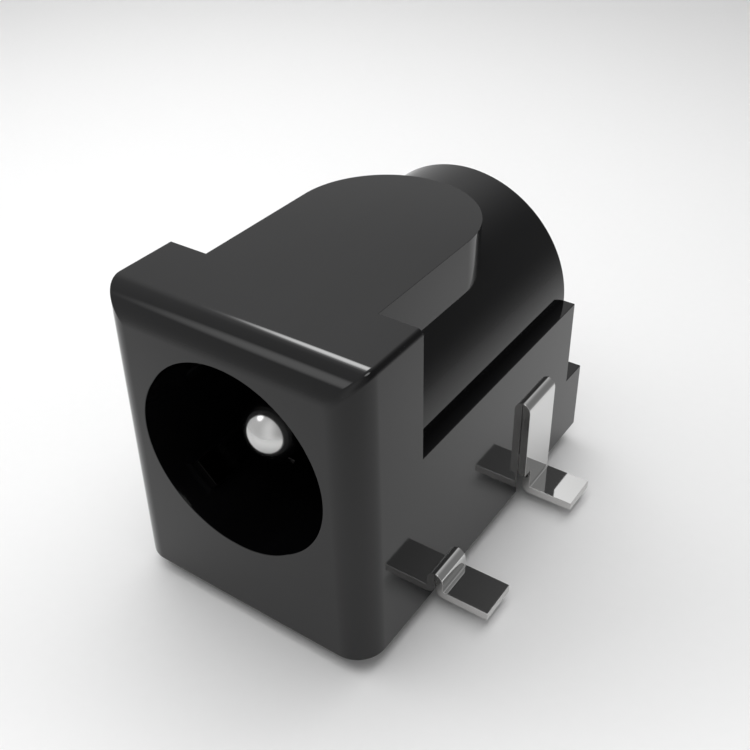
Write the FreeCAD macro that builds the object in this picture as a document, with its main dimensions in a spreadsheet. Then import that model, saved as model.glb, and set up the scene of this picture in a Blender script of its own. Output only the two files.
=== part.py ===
import FreeCAD, Part
import os

import Sketcher
from FreeCAD import Placement, Rotation, Vector

# A surface-mount barrel jack for round power plugs.
# Every piece is drawn about the mouth: x = 0 is the middle, y = 0 the front face and z = 0 the
# underside of the housing. All pieces are then shifted together, so that the part's own origin lies
# on the front locating peg's axis, in the plane of the board that the four feet are soldered to.

# Driving sizes in millimetres, and one angle in degrees
SIZES = {
    # outside of the housing
    "body_width": 9.0,
    "body_height": 10.5,
    "body_length": 13.0,
    "block_length": 3.1,
    "block_flare": 0.4,
    "front_round": 1.0,
    "edge_round": 0.2,
    "axis_height": 6.1,
    "barrel_diameter": 8.15,
    "rib_width": 6.15,
    "rib_length": 10.9,
    "ledge_length": 1.2,
    "ledge_height": 2.75,
    # mouth and bore
    "bore_diameter": 6.5,
    "bore_depth": 9.0,
    "relief_narrowing": 0.1,
    "relief_shift": 0.3,
    # locating pegs under the housing
    "peg_diameter": 1.6,
    "peg_length": 0.65,
    "peg_chamfer": 0.15,
    "peg_front": 2.6,
    "peg_pitch": 4.5,
    # soldered tabs, all stamped from one gauge of sheet
    "sheet_gauge": 0.3,
    "bend_inside": 0.05,
    "stand_off": 0.25,
    "foot_span": 12.9,
    "foot_width": 1.45,
    "foot_front": 4.58,
    "foot_pitch": 6.0,
    "front_leg_top": 0.7,
    "rear_leg_top": 4.0,
    "shoulder_width": 0.43,
    "shoulder_height": 0.85,
    "fit_gap": 0.02,
    # centre pin, turned
    "pin_diameter": 2.0,
    "pin_recess": 1.0,
    "collar_diameter": 3.0,
    "collar_length": 0.5,
    "tail_diameter": 1.2,
    "rivet_diameter": 1.9,
    "rivet_height": 0.45,
    "rivet_access": 2.8,
    # upright ear of the pin's terminal
    "ear_width": 2.6,
    "ear_top": 7.5,
    "ear_round": 0.8,
    "ear_relief": 0.3,
    # leaf spring, which lies low on one side of the bore
    "leaf_angle": 45.0,
    "leaf_width": 1.0,
    "leaf_root_beyond": 0.2,
    "leaf_bow_reach": 0.65,
    "leaf_tip_reach": 0.15,
    "leaf_tip": 1.0,
    "leaf_nose": 0.8,
    "leaf_crown": 0.2,
    "leaf_heel": 8.6,
    "leaf_bend": 1.0,
    "flap_run": 0.135,
    "flap_bottom": 2.0,
    "spring_slot_inner": 1.7,
    "spring_slot_outer": 3.3,
    # switch finger and anchor blade
    "finger_room": 0.45,
    "finger_drop": 0.4,
    "blade_face": 3.0,
    "blade_top": 2.9,
}

doc = FreeCAD.newDocument("barrel_jack")
dims = doc.addObject("Spreadsheet::Sheet", "dims")
for row, (alias, size) in enumerate(SIZES.items(), start=1):
    dims.set("A%d" % row, alias)
    dims.set("B%d" % row, str(size))
    dims.setAlias("B%d" % row, alias)
doc.recompute()

# Lengths under NEAR count as nothing, an edge within REACH of a point is the one meant, and a cut
# that starts in the open air starts OUTSIDE beyond the solid.
NEAR = 1e-5
REACH = 1e-3
OUTSIDE = "1"

# Formulas that several pieces share
HALF = "dims.body_width / 2"
AXIS = "dims.axis_height"
GAP = "dims.fit_gap"
GAUGE = "dims.sheet_gauge"
PLATE_FACE = "(dims.body_width / 2 + dims.sheet_gauge)"
LEAF_ROOT = "(dims.bore_diameter / 2 + dims.leaf_root_beyond)"
LEAF_BOW = "(dims.bore_diameter / 2 - dims.leaf_bow_reach)"
LEAF_TIP = "(dims.bore_diameter / 2 - dims.leaf_tip_reach)"
FINGER_ROOM = "(dims.axis_height - dims.bore_diameter / 2 + dims.finger_room)"
FINGER_TOP = "(%s - dims.finger_drop)" % FINGER_ROOM
FOOT_TOP = "(dims.sheet_gauge - dims.stand_off)"
FOOT_END = "dims.foot_span / 2"
FRONT_NEAR = "(dims.foot_front - dims.foot_width / 2)"
FRONT_FAR = "(dims.foot_front + dims.foot_width / 2)"
REAR_NEAR = "(dims.foot_front + dims.foot_pitch - dims.foot_width / 2)"
REAR_FAR = "(dims.foot_front + dims.foot_pitch + dims.foot_width / 2)"
PLATE_NEAR = "(dims.foot_front + dims.foot_pitch - dims.foot_width / 2 - dims.shoulder_width)"
SIN = "sin(dims.leaf_angle * 1 deg)"
COS = "cos(dims.leaf_angle * 1 deg)"
FLAP_FACE = "(%s * %s - dims.leaf_width / 2 * %s - dims.flap_run)" % (LEAF_BOW, SIN, COS)
BEND_OUTSIDE = "(dims.bend_inside + dims.sheet_gauge)"


def worth(formula):
    """Value of a formula in the sheet's names."""
    return float(dims.evalExpression(formula))


def new_body(label):
    """Empty body that is shifted from the mouth's frame to the peg's."""
    body = doc.addObject("PartDesign::Body", label)
    body.Label = label
    body.setExpression("Placement.Base.y", "-dims.peg_front")
    body.setExpression("Placement.Base.z", "dims.stand_off")
    return body


def new_sketch(body, name, role, level="0"):
    """Sketch on one of the body's own planes, moved along the plane's normal by a formula."""
    plane = next(item for item in body.Origin.OriginFeatures if item.Role == role)
    sketch = body.newObject("Sketcher::SketchObject", name)
    sketch.AttachmentSupport = [(plane, "")]
    sketch.MapMode = "FlatFace"
    sketch.setExpression("AttachmentOffset.Base.z", level)
    return sketch


def cross_section(body, name, depth="0"):
    """Sketch across the jack at a depth behind the front face; its normal looks out of the mouth."""
    return new_sketch(body, name, "XZ_Plane", "-(%s)" % depth)


def plan(body, name, level="0"):
    """Sketch seen from above at a height over the underside."""
    return new_sketch(body, name, "XY_Plane", level)


def hold(sketch, kind, geometry, point, formula):
    """Tie one coordinate of a sketch point to a formula."""
    size = worth(formula)
    if abs(size) < NEAR:
        line = -2 if kind == "DistanceX" else -1
        sketch.addConstraint(Sketcher.Constraint("PointOnObject", geometry, point, line))
        return
    index = sketch.addConstraint(Sketcher.Constraint(kind, -1, 1, geometry, point, size))
    sketch.setExpression("Constraints[%d]" % index, formula)


def outline(sketch, corners, arcs=None):
    """Closed outline through corners given as formulas.

    arcs maps the number of a side to a point that its arc passes and to the height of its centre.
    """
    arcs = arcs or {}
    spots = [Vector(worth(across), worth(up), 0) for across, up in corners]
    ends = []
    for side, start in enumerate(spots):
        stop = spots[(side + 1) % len(spots)]
        if side in arcs:
            passes = Vector(*[worth(formula) for formula in arcs[side][0]], 0)
            index = sketch.addGeometry(Part.Arc(start, passes, stop), False)
            hold(sketch, "DistanceY", index, 3, arcs[side][1])
        else:
            index = sketch.addGeometry(Part.LineSegment(start, stop), False)
        forward = sketch.getPoint(index, 1).distanceToPoint(start) < NEAR
        ends.append((index, 1, 2) if forward else (index, 2, 1))
    for side, (across, up) in enumerate(corners):
        index, first, _ = ends[side]
        before, _, last = ends[side - 1]
        sketch.addConstraint(Sketcher.Constraint("Coincident", before, last, index, first))
        hold(sketch, "DistanceX", index, first, across)
        hold(sketch, "DistanceY", index, first, up)


def rectangle(sketch, low_x, high_x, low_y, high_y):
    """Upright rectangle between four formulas."""
    outline(sketch, [(low_x, low_y), (high_x, low_y), (high_x, high_y), (low_x, high_y)])


def circle(sketch, across, up, diameter):
    """Circle whose centre and diameter are formulas."""
    centre = Vector(worth(across), worth(up), 0)
    index = sketch.addGeometry(Part.Circle(centre, Vector(0, 0, 1), worth(diameter) / 2), False)
    hold(sketch, "DistanceX", index, 3, across)
    hold(sketch, "DistanceY", index, 3, up)
    size = sketch.addConstraint(Sketcher.Constraint("Diameter", index, worth(diameter)))
    sketch.setExpression("Constraints[%d]" % size, diameter)


def pad(body, sketch, length, backwards=False, middle=False):
    """Solid grown from a sketch along its normal, against it, or to both sides."""
    feature = body.newObject("PartDesign::Pad", sketch.Name + "_pad")
    feature.Profile = sketch
    feature.setExpression("Length", length)
    feature.Reversed = backwards
    if middle:
        feature.SideType = "Symmetric"
    doc.recompute()
    return feature


def cut(body, sketch, length, upwards=False):
    """Recess sunk from a sketch against its normal, or along it."""
    before = body.Shape.Volume
    feature = body.newObject("PartDesign::Pocket", sketch.Name + "_cut")
    feature.Profile = sketch
    feature.setExpression("Length", length)
    feature.Reversed = upwards
    doc.recompute()
    if body.Shape.Volume > before - NEAR:
        raise ValueError(sketch.Name + " cuts nothing")
    return feature


def rounded(body, name, points, radius):
    """Fillet on the edges that pass through the given points, each a triple of formulas."""
    base = body.Tip
    shape = base.Shape
    names = []
    for point in points:
        spot = Part.Vertex(Vector(*[worth(formula) for formula in point]))
        gaps = [edge.distToShape(spot)[0] for edge in shape.Edges]
        number = gaps.index(min(gaps))
        if gaps[number] > REACH:
            raise ValueError("%s finds no edge at %s" % (name, point))
        names.append("Edge%d" % (number + 1))
    feature = body.newObject("PartDesign::Fillet", name)
    feature.Base = (base, sorted(set(names)))
    feature.setExpression("Radius", radius)
    doc.recompute()
    return feature


def signed(side, formula):
    """The formula on the right side, and its negative on the left."""
    return formula if side > 0 else "-(%s)" % formula


def tab_corners(side, leg_top, inner_end, upright_top=None):
    """Section of a soldered tab: foot, plate up the wall, leg into the wall and, if given, an upright.

    The leg ends at inner_end from the middle, and the upright stands on that end.
    """
    leg_bottom = "(%s - %s)" % (leg_top, GAUGE)
    across_up = [(FOOT_END, FOOT_TOP), (PLATE_FACE, FOOT_TOP), (PLATE_FACE, leg_top)]
    if upright_top:
        outer_face = "(%s + %s)" % (inner_end, GAUGE)
        across_up += [(outer_face, leg_top), (outer_face, upright_top), (inner_end, upright_top)]
    else:
        across_up += [(inner_end, leg_top)]
    across_up += [(inner_end, leg_bottom), (HALF, leg_bottom), (HALF, "-dims.stand_off")]
    across_up += [(FOOT_END, "-dims.stand_off")]
    return [(signed(side, across), up) for across, up in across_up]


def tab_bends(body, side, leg_top, near_y, far_y):
    """Round the two bends that every tab has, over the wall's edge and into the foot."""
    middle_y = "(%s + %s) / 2" % (near_y, far_y)
    leg_bottom = "(%s - %s)" % (leg_top, GAUGE)
    wall, face = signed(side, HALF), signed(side, PLATE_FACE)
    inside = [(wall, middle_y, leg_bottom), (face, middle_y, FOOT_TOP)]
    outside = [(face, middle_y, leg_top), (wall, middle_y, "-dims.stand_off")]
    rounded(body, body.Label + "_bends_inside", inside, "dims.bend_inside")
    rounded(body, body.Label + "_bends_outside", outside, BEND_OUTSIDE)


def shoulder_cut(body, side):
    """Narrow a rear tab from its plate's width to its foot's width below the shoulder."""
    sketch = new_sketch(body, body.Label + "_shoulder", "YZ_Plane")
    low_y = "%s - %s" % (PLATE_NEAR, OUTSIDE)
    rectangle(sketch, low_y, REAR_NEAR, "-dims.stand_off - " + OUTSIDE, "dims.shoulder_height")
    cut(body, sketch, "%s + %s" % (FOOT_END, OUTSIDE), upwards=side > 0)


def make_housing():
    """One moulded piece: front block, half-sunk barrel with a rib on top, lower box and rear ledge."""
    body = new_body("housing")
    block = cross_section(body, "front_block")
    # the block's left side leans out towards the board
    toe = "-(%s + dims.block_flare)" % HALF
    outline(block, [(toe, "0"), (HALF, "0"), (HALF, "dims.body_height"), ("-" + HALF, "dims.body_height")])
    pad(body, block, "dims.block_length", backwards=True)
    box = cross_section(body, "lower_box")
    rectangle(box, "-" + HALF, HALF, "0", AXIS)
    pad(body, box, "dims.body_length", backwards=True)
    ledge = cross_section(body, "rear_ledge")
    rectangle(ledge, "-" + HALF, HALF, "0", "dims.ledge_height")
    pad(body, ledge, "dims.body_length + dims.ledge_length", backwards=True)
    barrel = cross_section(body, "barrel")
    circle(barrel, "0", AXIS, "dims.barrel_diameter")
    pad(body, barrel, "dims.body_length", backwards=True)
    rib_side = "dims.rib_width / 2"
    rib_end = "(dims.rib_length - dims.rib_width / 2)"
    rib = plan(body, "top_rib", AXIS)
    corners = [("-" + rib_side, "0"), (rib_side, "0"), (rib_side, rib_end), ("-" + rib_side, rib_end)]
    outline(rib, corners, arcs={2: (("0", "dims.rib_length"), rib_end)})
    pad(body, rib, "dims.body_height - dims.axis_height")
    leaning_edge = ("-(%s + dims.block_flare / 2)" % HALF, "0", "dims.body_height / 2")
    rounded(
        body,
        "front_rounds",
        [leaning_edge, (HALF, "0", AXIS), ("0", "0", "dims.body_height")],
        "dims.front_round",
    )
    side_y = "(dims.front_round + dims.block_length) / 2"
    rounded(
        body,
        "block_edges",
        [("-" + HALF, side_y, "dims.body_height"), (HALF, side_y, "dims.body_height")],
        "dims.edge_round",
    )
    pegs = plan(body, "locating_pegs")
    for depth in ("dims.peg_front", "dims.peg_front + dims.peg_pitch"):
        circle(pegs, "0", depth, "dims.peg_diameter")
    pad(body, pegs, "dims.peg_length", backwards=True)
    chamfer_pegs(body)
    cut_bore(body)
    cut_terminal_rooms(body)
    return body


def chamfer_pegs(body):
    """Lead-in chamfer round both pegs' ends."""
    base = body.Tip
    floor_z = -worth("dims.peg_length")
    names = [
        "Edge%d" % (number + 1)
        for number, edge in enumerate(base.Shape.Edges)
        if abs(edge.BoundBox.ZMax - floor_z) < NEAR
    ]
    feature = body.newObject("PartDesign::Chamfer", "peg_chamfers")
    feature.Base = (base, names)
    feature.setExpression("Size", "dims.peg_chamfer")
    doc.recompute()


def cut_bore(body):
    """Blind bore for the plug, its relief on the spring's side, and the pin's hole behind it."""
    bore = cross_section(body, "bore")
    circle(bore, "0", AXIS, "dims.bore_diameter")
    cut(body, bore, "dims.bore_depth")
    relief = cross_section(body, "spring_relief")
    shift_x = "-dims.relief_shift * " + SIN
    shift_z = "%s - dims.relief_shift * %s" % (AXIS, COS)
    circle(relief, shift_x, shift_z, "dims.bore_diameter - dims.relief_narrowing")
    cut(body, relief, "dims.bore_depth")
    pin_hole = cross_section(body, "pin_hole", "dims.bore_depth")
    circle(pin_hole, "0", AXIS, "dims.pin_diameter + 2 * " + GAP)
    cut(body, pin_hole, "%s - dims.bore_depth" % REAR_FAR)
    access = cross_section(body, "rivet_access_hole", "dims.body_length")
    circle(access, "0", AXIS, "dims.rivet_access")
    cut(body, access, "dims.body_length - " + REAR_FAR, upwards=True)


def cut_terminal_rooms(body):
    """Rooms pushed up from the underside, through which the four stampings are pressed in."""
    ear_side = "(dims.ear_width / 2 + %s)" % GAP
    rear_y = ("%s - %s" % (PLATE_NEAR, GAP), "%s + %s" % (REAR_FAR, GAP))
    front_y = ("%s - %s" % (FRONT_NEAR, GAP), "%s + %s" % (FRONT_FAR, GAP))
    ear_y = ("%s - %s - %s" % (REAR_FAR, GAUGE, GAP), rear_y[1])
    beyond = "(%s + %s)" % (HALF, OUTSIDE)
    rear_top = "dims.rear_leg_top + " + GAP
    front_top = "dims.front_leg_top + " + GAP
    _, leaf_edge = on_leaf(LEAF_ROOT, "-dims.leaf_width / 2")
    leaf_top = "%s + 2 * %s" % (leaf_edge, GAP)
    finger_face = "-(%s - %s - %s)" % (FLAP_FACE, GAUGE, GAP)
    blade_x = ("dims.blade_face - " + GAP, "dims.blade_face + %s + %s" % (GAUGE, GAP))
    slot_x = ("-dims.spring_slot_outer", "-dims.spring_slot_inner")
    rooms = [
        ("pin_terminal_room", "-" + ear_side, beyond, rear_y, rear_top),
        ("ear_room", "-" + ear_side, ear_side, ear_y, "dims.ear_top + " + GAP),
        ("spring_root_room", "-" + beyond, slot_x[1], rear_y, rear_top),
        ("spring_slot", slot_x[0], slot_x[1], (front_y[0], rear_y[1]), leaf_top),
        ("switch_room", "-" + beyond, slot_x[0], front_y, front_top),
        ("finger_room", slot_x[0], finger_face, front_y, FINGER_ROOM),
        ("anchor_room", blade_x[0], beyond, front_y, front_top),
        ("blade_room", blade_x[0], blade_x[1], front_y, "dims.blade_top + " + GAP),
    ]
    for name, low_x, high_x, depths, height in rooms:
        sketch = plan(body, name)
        rectangle(sketch, low_x, high_x, *depths)
        cut(body, sketch, height, upwards=True)


def make_centre_pin():
    """Turned pin: domed tip, collar seated on the bore's end wall, and a tail riveted behind the ear."""
    body = new_body("centre_pin")
    sketch = new_sketch(body, "pin_profile", "YZ_Plane")
    sketch.setExpression("AttachmentOffset.Base.y", AXIS)
    radius = "dims.pin_diameter / 2"
    seat = "(%s - %s)" % (REAR_FAR, GAUGE)
    head_end = "(%s + dims.rivet_height)" % REAR_FAR
    collar = ("(dims.bore_depth - dims.collar_length)", "dims.bore_depth")
    corners = [
        ("dims.pin_recess", "0"),
        ("dims.pin_recess + " + radius, radius),
        (collar[0], radius),
        (collar[0], "dims.collar_diameter / 2"),
        (collar[1], "dims.collar_diameter / 2"),
        (collar[1], radius),
        (seat, radius),
        (seat, "dims.tail_diameter / 2"),
        (REAR_FAR, "dims.tail_diameter / 2"),
        (REAR_FAR, "dims.rivet_diameter / 2"),
        (head_end, "0"),
    ]
    # The dome is a quarter circle, and the rivet head a shallow cap centred on the axis
    half_turn = "%s / sqrt(2)" % radius
    dome = ("dims.pin_recess + %s - %s" % (radius, half_turn), half_turn)
    cap_radius = "((dims.rivet_diameter / 2) ^ 2 + dims.rivet_height ^ 2) / (2 * dims.rivet_height)"
    cap_up = "dims.rivet_diameter / 4"
    cap_along = "%s - %s + sqrt((%s) ^ 2 - (%s) ^ 2)" % (head_end, cap_radius, cap_radius, cap_up)
    outline(sketch, corners, arcs={0: (dome, "0"), 9: ((cap_along, cap_up), "0")})
    feature = body.newObject("PartDesign::Revolution", "pin_turned")
    feature.Profile = sketch
    feature.ReferenceAxis = (sketch, ["H_Axis"])
    doc.recompute()
    return body


def make_pin_terminal():
    """Stamping of the centre contact: right rear tab, leg across, and the ear the pin is riveted to."""
    body = new_body("pin_terminal")
    ear_side = "dims.ear_width / 2"
    leg_bottom = "(dims.rear_leg_top - %s)" % GAUGE
    strip = cross_section(body, "pin_strip", REAR_FAR)
    outline(strip, tab_corners(1, "dims.rear_leg_top", "-" + ear_side))
    pad(body, strip, "%s - %s" % (REAR_FAR, PLATE_NEAR))
    shoulder_cut(body, 1)
    ear = cross_section(body, "ear", REAR_FAR)
    rectangle(ear, "-" + ear_side, ear_side, leg_bottom, "dims.ear_top")
    pad(body, ear, GAUGE)
    relief = plan(body, "ear_bend_relief")
    low_y = "%s - %s" % (REAR_FAR, BEND_OUTSIDE)
    rectangle(relief, ear_side, "%s + dims.ear_relief" % ear_side, low_y, "%s + %s" % (REAR_FAR, OUTSIDE))
    cut(body, relief, "dims.rear_leg_top + " + OUTSIDE, upwards=True)
    hole = cross_section(body, "tail_hole", "%s - %s" % (REAR_FAR, GAUGE))
    circle(hole, "0", AXIS, "dims.tail_diameter + 2 * " + GAP)
    cut(body, hole, GAUGE)
    mid_ear = "%s - %s / 2" % (REAR_FAR, GAUGE)
    rounded(
        body,
        "ear_corners",
        [(side + ear_side, mid_ear, "dims.ear_top") for side in ("", "-")],
        "dims.ear_round",
    )
    rounded(body, "ear_bend_outside", [("0", REAR_FAR, leg_bottom)], BEND_OUTSIDE)
    inner_y = "%s - %s" % (REAR_FAR, GAUGE)
    rounded(body, "ear_bend_inside", [("0", inner_y, "dims.rear_leg_top")], "dims.bend_inside")
    tab_bends(body, 1, "dims.rear_leg_top", REAR_NEAR, REAR_FAR)
    return body


def on_leaf(radius, aside):
    """Point of the tilted leaf in a cross section: its radius from the axis, and its place across."""
    across = "-(%s) * %s + (%s) * %s" % (radius, SIN, aside, COS)
    up = "%s - (%s) * %s - (%s) * %s" % (AXIS, radius, COS, aside, SIN)
    return across, up


def leaf_across(radius, height):
    """Distance from the middle at which a face of the tilted leaf has the given height."""
    return "((%s) + ((%s) - %s) * %s) / %s" % (radius, height, AXIS, COS, SIN)


def leaf_height(radius, across):
    """Height of a face of the tilted leaf at a distance to the left of the middle."""
    return "%s - ((%s) - (%s) * %s) / %s" % (AXIS, radius, across, SIN, COS)


def make_sleeve_spring():
    """Stamped spring: left rear tab, root bent to the leaf's slant, bowed leaf and switching flap."""
    body = new_body("sleeve_spring")
    root_in = LEAF_ROOT
    root_out = "(%s + %s)" % (LEAF_ROOT, GAUGE)
    leg_bottom = "(dims.rear_leg_top - %s)" % GAUGE
    root = cross_section(body, "spring_root", REAR_FAR)
    outer = tab_corners(-1, "dims.rear_leg_top", "0")
    bend_top = "-(%s)" % leaf_across(root_in, "dims.rear_leg_top")
    bend_bottom = "-(%s)" % leaf_across(root_out, leg_bottom)
    slant = [
        (bend_top, "dims.rear_leg_top"),
        on_leaf(root_in, "dims.leaf_width / 2"),
        on_leaf(root_out, "dims.leaf_width / 2"),
        (bend_bottom, leg_bottom),
    ]
    outline(root, outer[:3] + slant + outer[5:])
    pad(body, root, "%s - %s" % (REAR_FAR, PLATE_NEAR))
    shoulder_cut(body, -1)
    mid_y = "(%s + %s) / 2" % (PLATE_NEAR, REAR_FAR)
    rounded(body, "root_bend_outside", [(bend_top, mid_y, "dims.rear_leg_top")], BEND_OUTSIDE)
    rounded(body, "root_bend_inside", [(bend_bottom, mid_y, leg_bottom)], "dims.bend_inside")
    tab_bends(body, -1, "dims.rear_leg_top", REAR_NEAR, REAR_FAR)
    add_leaf(body)
    add_flap(body)
    return body


def add_leaf(body):
    """Leaf drawn along the bore in a plane turned about the axis, bowed in where the plug rubs."""
    sketch = new_sketch(body, "leaf_profile", "YZ_Plane")
    sketch.AttachmentOffset = Placement(Vector(), Rotation(Vector(1, 0, 0), worth("dims.leaf_angle")))
    sketch.setExpression("AttachmentOffset.Rotation.Angle", "dims.leaf_angle * 1 deg")
    sketch.setExpression("AttachmentOffset.Base.y", AXIS)
    stations = [
        ("dims.leaf_tip", LEAF_TIP),
        ("dims.leaf_tip + dims.leaf_nose", LEAF_TIP),
        (FRONT_NEAR + " - dims.leaf_crown", LEAF_BOW),
        (FRONT_FAR + " + dims.leaf_crown", LEAF_BOW),
        ("dims.leaf_heel", LEAF_ROOT),
        (PLATE_NEAR, LEAF_ROOT),
    ]
    inner = [(along, "-(%s)" % radius) for along, radius in stations]
    outer = [(along, "-(%s + %s)" % (radius, GAUGE)) for along, radius in stations]
    outline(sketch, inner + outer[::-1])
    pad(body, sketch, "dims.leaf_width", middle=True)
    bends = []
    for along, radius in stations[1:-1]:
        for face in (radius, "%s + %s" % (radius, GAUGE)):
            across, up = on_leaf(face, "0")
            bends.append((across, along, up))
    rounded(body, "leaf_bends", bends, "dims.leaf_bend")


def add_flap(body):
    """Flap turned down from the leaf's low edge, which rests on the switch finger."""
    bow_in = LEAF_BOW
    bow_out = "(%s + %s)" % (LEAF_BOW, GAUGE)
    far_face = "(%s + %s)" % (FLAP_FACE, GAUGE)
    bend_in = ("-" + FLAP_FACE, leaf_height(bow_in, FLAP_FACE))
    bend_out = ("-" + far_face, leaf_height(bow_out, far_face))
    flap = cross_section(body, "flap", FRONT_FAR)
    corners = [
        on_leaf(bow_in, "dims.leaf_width / 4"),
        bend_in,
        ("-" + FLAP_FACE, "dims.flap_bottom"),
        ("-" + far_face, "dims.flap_bottom"),
        bend_out,
        on_leaf(bow_out, "dims.leaf_width / 4"),
    ]
    outline(flap, corners)
    pad(body, flap, "dims.foot_width")
    rounded(body, "flap_bend_outside", [(bend_in[0], "dims.foot_front", bend_in[1])], BEND_OUTSIDE)
    rounded(body, "flap_bend_inside", [(bend_out[0], "dims.foot_front", bend_out[1])], "dims.bend_inside")


def make_upright_tab(label, side, inner_end, upright_top):
    """Front stamping: tab, leg through the wall's foot, and an upright at the leg's inner end."""
    body = new_body(label)
    leg_bottom = "(dims.front_leg_top - %s)" % GAUGE
    strip = cross_section(body, label + "_strip", FRONT_FAR)
    outline(strip, tab_corners(side, "dims.front_leg_top", inner_end, upright_top))
    pad(body, strip, "dims.foot_width")
    heel = (signed(side, inner_end), "dims.foot_front", leg_bottom)
    crook = (signed(side, "(%s + %s)" % (inner_end, GAUGE)), "dims.foot_front", "dims.front_leg_top")
    rounded(body, label + "_heel", [heel], BEND_OUTSIDE)
    rounded(body, label + "_crook", [crook], "dims.bend_inside")
    tab_bends(body, side, "dims.front_leg_top", FRONT_NEAR, FRONT_FAR)
    return body


pieces = [
    make_housing(),
    make_centre_pin(),
    make_pin_terminal(),
    make_sleeve_spring(),
    make_upright_tab("switch_contact", -1, "(%s - %s)" % (FLAP_FACE, GAUGE), FINGER_TOP),
    make_upright_tab("anchor_tab", 1, "dims.blade_face", "dims.blade_top"),
]

doc.recompute()
for item in doc.Objects:
    if "Invalid" in item.State or "Error" in item.State:
        raise RuntimeError("%s failed: %s" % (item.Name, item.State))

os.makedirs("parts", exist_ok=True)
for piece in pieces:
    shape = piece.Shape
    if shape.isNull() or not shape.isValid() or len(shape.Solids) != 1:
        raise RuntimeError(piece.Label + " isn't one valid solid")
    shape.exportStep("parts/%s.step" % piece.Label)
    print("%-16s %8.3f mm3" % (piece.Label, shape.Volume))
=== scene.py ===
"""Looks of a surface-mount barrel jack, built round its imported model.

Lengths are millimetres in the mouth's frame until a mesh is finished: x = 0 is the middle, y = 0 the
front face and z = 0 the housing's underside. A finished mesh is moved to the part's own frame, whose
origin is the front peg's axis in the board's plane, and turned into metres.
"""

from __future__ import annotations

import logging
import math
from dataclasses import dataclass, field
from enum import Enum

import bmesh
import bpy
import numpy as np
from mathutils import Euler, Matrix, Vector

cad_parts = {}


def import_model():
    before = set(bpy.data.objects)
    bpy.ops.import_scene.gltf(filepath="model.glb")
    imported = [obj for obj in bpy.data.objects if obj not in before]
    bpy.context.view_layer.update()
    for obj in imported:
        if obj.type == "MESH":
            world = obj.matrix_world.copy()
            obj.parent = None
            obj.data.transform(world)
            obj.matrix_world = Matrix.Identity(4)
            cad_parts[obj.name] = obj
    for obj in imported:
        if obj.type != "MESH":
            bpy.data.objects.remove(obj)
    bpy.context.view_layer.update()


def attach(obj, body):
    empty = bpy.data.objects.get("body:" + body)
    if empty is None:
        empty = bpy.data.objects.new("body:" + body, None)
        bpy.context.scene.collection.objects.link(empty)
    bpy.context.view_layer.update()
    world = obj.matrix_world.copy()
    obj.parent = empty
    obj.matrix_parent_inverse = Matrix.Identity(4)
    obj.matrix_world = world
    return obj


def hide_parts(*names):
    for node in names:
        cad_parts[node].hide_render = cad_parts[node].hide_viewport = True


LOG = logging.getLogger("barrel_jack")

# Metres in a millimetre, the part's origin in the mouth's frame, how near points merge, and how
# much two faces may lean from each other and still look smooth.
METRES = 0.001
PART_ORIGIN = (0.0, 2.6, -0.25)
WELD = 1e-5
CREASE = math.radians(35.0)
QUARTER = math.pi / 2

# Sizes that several pieces follow.
AXIS_HEIGHT = 6.1
FLOOR_DEPTH = 0.65
FINGER_END = 1.05
BLADE_END = 3.0
UPRIGHT_TOP = 2.9

# Radius of a moulded edge that looks sharp, segments in an eased one, length past any strip's end.
CRISP = 0.02
EDGE_STEPS = 4
PAST_END = 100.0

Pair = tuple[float, float]
Triple = tuple[float, float, float]
Colour = tuple[float, float, float, float]
Socket = bpy.types.NodeSocket


class Carve(Enum):
    """What a tool shell does to the shell that it is applied to."""

    UNITE = "UNION"
    SUBTRACT = "DIFFERENCE"


class Side(Enum):
    """Side of the jack, seen from the front."""

    LEFT = -1
    RIGHT = 1


class Slot(Enum):
    """Material slots of the record."""

    PLASTIC = "housing_plastic"
    PIN = "pin_plating"
    SHEET = "sheet_plating"


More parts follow.
